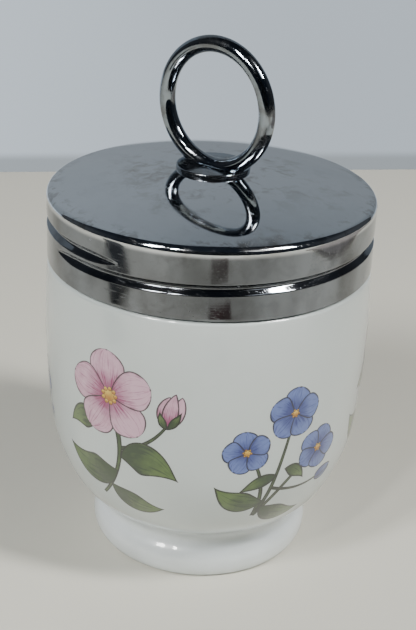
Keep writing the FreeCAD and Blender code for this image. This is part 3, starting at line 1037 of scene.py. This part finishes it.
# %% The ring's chrome
# The ring's tint is darker than the lid's and its worn patches brownish: partly wear, partly painted shade
# for the darker room and table that the ring mirrors.
ring_chrome, tree, shader, place, height = chrome_material(
    "ring_chrome", screen_colour(144, 153, 162), screen_colour(98, 92, 88),
    (0.22, 0.42, 0.62, 0.10, 0.03), 0.04,
)
bump_from(tree, shader, height, 0.012)
ring.data.materials.append(ring_chrome)
fillet.data.materials.append(ring_chrome)

# %% [markdown]
# ## Disc and washer
#
# The disc keeps its engineering mesh and shares the ring's chrome. The washer inside the lid is
# plain steel with a satin face: its grain runs in circles, because it is turned on a lathe.

# %% Materials on the engineering nodes
def give_material(node_name, material):
    """Puts a material on an engineering node without touching its mesh."""
    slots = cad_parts[node_name].data.materials
    slots.clear()
    slots.append(material)


washer_steel, tree, shader = new_material("washer_steel", Metallic=1.0)
place = place_in_mm(tree)
circle_place = node(tree, "CombineXYZ", {0: axis_distance(tree, place)}).outputs[0]
turned_grain = node(tree, "TexNoise", {"Vector": circle_place, "Scale": 9.0, "Detail": 4.0}).outputs["Fac"]
worn = smudge_mask(tree, place, 0.3, 0.45, 0.7)
steel = mixed(tree, worn, screen_colour(176, 176, 174), screen_colour(140, 137, 131))
tree.links.new(steel, shader.inputs["Base Color"])
tree.links.new(ranged(tree, turned_grain, 0.3, 0.7, 0.25, 0.4), shader.inputs["Roughness"])
bump_from(tree, shader, turned_grain, 0.02)
give_material("backing_washer", washer_steel)
give_material("ring_base", ring_chrome)

# %% [markdown]
# ## Table and wall
#
# The coddler stands on a pale table in front of a pale wall. The table is a board with a rounded
# back edge. The wall stands well behind it, so the place where it meets the floor is out of sight. A
# wall that is lit by the lamps would also light the lid from behind, as a second lamp. So this one
# has grey paint and a glow of its own, which can be set band by band: bright where it is seen past
# the table, dimmer higher up, where only the lid mirrors it, and shaded at its foot, which shows as
# a thin line over the table's edge.

# %% Table and wall
view_azimuth_deg = 36
front_deg = view_azimuth_deg - 90
set_turn_deg = 8.7
set_half_width, board_thickness = 1000, 20


def slab(name, profile):
    """A closed board with the profile given as (y, z) points, turned to face the camera."""
    count = len(profile)
    vertices = [(end * set_half_width, y, z) for end in (-1, 1) for y, z in profile]
    faces = [tuple(range(count))[::-1], tuple(range(count, 2 * count))]
    faces += [(i, (i + 1) % count, count + (i + 1) % count, count + i) for i in range(count)]
    board = mesh_object(name, vertices, faces)
    board.matrix_world = Matrix.Rotation(math.radians(view_azimuth_deg + set_turn_deg), 4, "Z")
    return board


table_front, table_back, table_edge = -420, 212, 6
table_profile = [(table_front, -board_thickness), (table_back, -board_thickness)]
table_profile += arc((table_back - table_edge, -table_edge), table_edge, 0, 90, 8)
table_profile += [(table_front, 0)]
table = slab("table", table_profile)

wall_front, wall_foot, wall_top = 700, -500, 1100
wall_back = wall_front + board_thickness
wall_profile = [(wall_front, wall_foot), (wall_back, wall_foot)]
wall_profile += [(wall_back, wall_top), (wall_front, wall_top)]
wall = slab("wall", wall_profile)

# %% Table finish
broad_patches = (0.004, 0.35, 0.7)
pale_table, tree, shader = new_material("pale_table")
place = place_in_mm(tree)
soft_patch = smudge_mask(tree, place, *broad_patches)
table_colour = mixed(tree, soft_patch, screen_colour(214, 212, 200), screen_colour(210, 209, 199))
tree.links.new(table_colour, shader.inputs["Base Color"])
tree.links.new(ranged(tree, soft_patch, 0.0, 1.0, 0.5, 0.6), shader.inputs["Roughness"])
bump_from(tree, shader, wavy_height(tree, place, 0.05, 1.5, 0.3), 0.02)
table.data.materials.append(pale_table)

# %% Wall finish
dimmed_share, dim_from, dim_to = 0.3, -40.0, 10.0
shade_top, shade_bottom, shade_strength = -152.0, -160.0, 0.7

pale_wall, tree, shader = new_material("pale_wall", Roughness=0.7, Emission_Strength=1.0)
place = place_in_mm(tree)
across, _, height = node(tree, "SeparateXYZ", {0: place}).outputs
soft_patch = smudge_mask(tree, place, *broad_patches)
wall_colour = mixed(tree, soft_patch, screen_colour(112, 118, 124), screen_colour(106, 112, 118))
tree.links.new(wall_colour, shader.inputs["Base Color"])

# The glow is brighter on the left than on the right: painted light, for the lamps falling more on the wall's
# left.
left_glow, right_glow = screen_colour(210, 222, 233), screen_colour(182, 193, 203)
glow = mixed(tree, ranged(tree, across, -200.0, 200.0), left_glow, right_glow)
dim = node(tree, "VectorMath", {0: glow, "Scale": dimmed_share}, operation="SCALE").outputs[0]
glow = mixed(tree, ranged(tree, height, dim_from, dim_to), glow, dim)
shaded_foot = ranged(tree, height, shade_top, shade_bottom, 0.0, shade_strength)
glow = mixed(tree, shaded_foot, glow, screen_colour(130, 136, 138))
tree.links.new(glow, shader.inputs["Emission Color"])
wall.data.materials.append(pale_wall)

# %% [markdown]
# ## Camera
#
# The camera looks down on the cup from close by, so the lid's top shows as a wide ellipse and the
# cup gets narrower towards its foot. Its place is given by a distance and an angle from a point on
# the cup's axis, with the front straight ahead. Three small turns then aim it: pan is sideways, tilt
# is up and down, and roll leans the picture. At the end all of it is turned about the axis to the
# side of the cup that is the front.

# %% Camera
elevation_deg = 19.333
distance = 220.306
look_height = 67.8
pan, tilt, roll = -0.0008, -0.1012, -0.0427
focal_length, sensor_width = 72.55, 36

elevation = math.radians(elevation_deg)
forward = Vector((0, math.cos(elevation), -math.sin(elevation)))
right = Vector((1, 0, 0))
up = right.cross(forward)
pan_turn = Quaternion(up, pan)
forward, right = pan_turn @ forward, pan_turn @ right
tilt_turn = Quaternion(right, tilt)
forward, up = tilt_turn @ forward, tilt_turn @ up
roll_turn = Quaternion(forward, roll)
right, up = roll_turn @ right, roll_turn @ up

lens = bpy.data.cameras.new("camera")
lens.lens = focal_length
lens.sensor_width = sensor_width
lens.clip_start = 0.01
camera = bpy.data.objects.new("camera", lens)
bpy.context.collection.objects.link(camera)
stand = Vector((0, -distance * math.cos(elevation), distance * math.sin(elevation) + look_height)) * MM
facing = Matrix((right, up, -forward)).transposed().to_4x4()
to_view = Matrix.Rotation(math.radians(view_azimuth_deg), 4, "Z")
camera.matrix_world = to_view @ Matrix.Translation(stand) @ facing
bpy.context.scene.camera = camera
print("camera at", [round(v / MM, 1) for v in camera.matrix_world.translation], "mm")

# %% [markdown]
# ## Cards for the chrome
#
# Chrome shows what stands round it, and in an empty room it looks like flat grey plastic. A studio
# puts up cards for that: they stay out of the picture and show only as dark bands in the metal. One
# stands behind the lens, where a camera and its user would be, and it alone also throws a shade. The
# others are painted shade: dark sheets laid on the table where it would lie in shade, so that the
# lid's skirt mirrors shade there and gets its streaks: two reddish ones in front, a black one on the
# left and a wide brown one on the right.

# %% Cards that only show in reflections
def block(name, low, high, material):
    """A box between two corners that reflections see and the camera doesn't."""
    corners = [(x, y, z) for z in (low[2], high[2]) for y in (low[1], high[1]) for x in (low[0], high[0])]
    faces = [(0, 2, 3, 1), (4, 5, 7, 6), (0, 1, 5, 4), (2, 6, 7, 3), (0, 4, 6, 2), (1, 3, 7, 5)]
    box = mesh_object(name, corners, faces)
    box.matrix_world = to_view
    box.visible_camera = False
    box.visible_shadow = False
    box.data.materials.append(material)
    return box


def card_paint(name, dark, light):
    """Matt paint that varies between two colours."""
    material, tree, shader = new_material(name, Roughness=0.8)
    cloudy = smudge_mask(tree, place_in_mm(tree), 0.05, 0.3, 0.7)
    tree.links.new(mixed(tree, cloudy, dark, light), shader.inputs["Base Color"])
    return material


black_card = card_paint("black_card", screen_colour(28, 32, 38), screen_colour(38, 41, 46))
brown_card = card_paint("brown_card", screen_colour(134, 128, 124), screen_colour(150, 144, 140))
red_card = card_paint("red_card", screen_colour(64, 36, 38), screen_colour(84, 52, 50))

card_half_width, card_half_height, card_near, card_far = 105, 75, -11, -13
card_low = stand / MM + Vector((-card_half_width, card_far, -card_half_height))
card_high = stand / MM + Vector((card_half_width, card_near, card_half_height))
lens_card = block("lens_card", card_low, card_high, black_card)
lens_card.visible_shadow = True
# Painted shade: dark sheets on the table, seen only in the chrome, where the table would lie in shade.
block("front_card_far", (4, -180, 1), (36, -167, 3), red_card)
block("front_card_near", (2, -147, 1), (36, -128, 3), red_card)
block("left_card", (-196, -100, 1), (-118, -64, 6), black_card)
block("right_board", (172, -90, 1), (560, 190, 3), brown_card)

# %% [markdown]
# ## Lamps and room
#
# Round soft lamps would give round highlights, and the eye would know them for lamps. Tall narrow
# ones pass for windows. Two on the left and one on the right give the cup its two soft shadows, and
# a weak wide one near the right one adds a soft glow. The room itself is dim and a little blue, and
# darkest in front and overhead, so the chrome has black in it. Only where the camera looks past the
# wall is the room pale.

# %% Lamps
lamp_aim_height = 40


def soft_lamp(name, side_deg, elevation_deg, distance_mm, size_mm, power, colour):
    """A tall soft light, like a narrow window, that faces the cup from side_deg off the front."""
    data = bpy.data.lights.new(name, "AREA")
    data.shape = "RECTANGLE"
    data.size, data.size_y = (side * MM for side in size_mm)
    data.energy = power
    data.color = colour
    lamp = bpy.data.objects.new(name, data)
    bpy.context.collection.objects.link(lamp)
    azimuth, height = math.radians(front_deg + side_deg), math.radians(elevation_deg)
    level = math.cos(height)
    way = Vector((math.cos(azimuth) * level, math.sin(azimuth) * level, math.sin(height)))
    lamp.location = way * distance_mm * MM + Vector((0, 0, lamp_aim_height * MM))
    lamp.rotation_euler = way.to_track_quat("Z", "Y").to_euler()
    print(f"{name}: {power} W, {side_deg} degrees off the front")


day, evening, sky = (1.0, 0.99, 0.97), (1.0, 0.98, 0.95), (0.97, 0.985, 1.0)
soft_lamp("left_window", -43, 42, 900, (120, 270), 5.1, day)
soft_lamp("left_window_small", -26, 42, 900, (60, 150), 2.3, day)
soft_lamp("right_window", 64, 50, 900, (110, 270), 8.1, evening)
soft_lamp("right_glow", 44, 48, 920, (260, 200), 0.25, sky)

# %% Room
room_dark, room_sides = (0.014, 0.018, 0.025, 1), (0.058, 0.063, 0.070, 1)
room_seen = (0.60, 0.62, 0.63, 1)

room = bpy.data.worlds.new("room")
bpy.context.scene.world = room
room.use_nodes = True
tree = room.node_tree
way = node(tree, "TexCoord").outputs["Generated"]
front_way = (math.cos(math.radians(front_deg)), math.sin(math.radians(front_deg)), 0.0)
facing_front = node(tree, "VectorMath", {0: way, 1: front_way}, operation="DOT_PRODUCT").outputs["Value"]
upwards = node(tree, "SeparateXYZ", {0: way}).outputs[2]
room_colour = mixed(tree, ranged(tree, facing_front, -0.2, 0.5), room_sides, room_dark)
room_colour = mixed(tree, ranged(tree, upwards, 0.35, 0.75), room_colour, room_dark)
seen = node(tree, "LightPath").outputs["Is Camera Ray"]
room_colour = mixed(tree, seen, room_colour, room_seen)
tree.links.new(room_colour, tree.nodes["Background"].inputs["Color"])
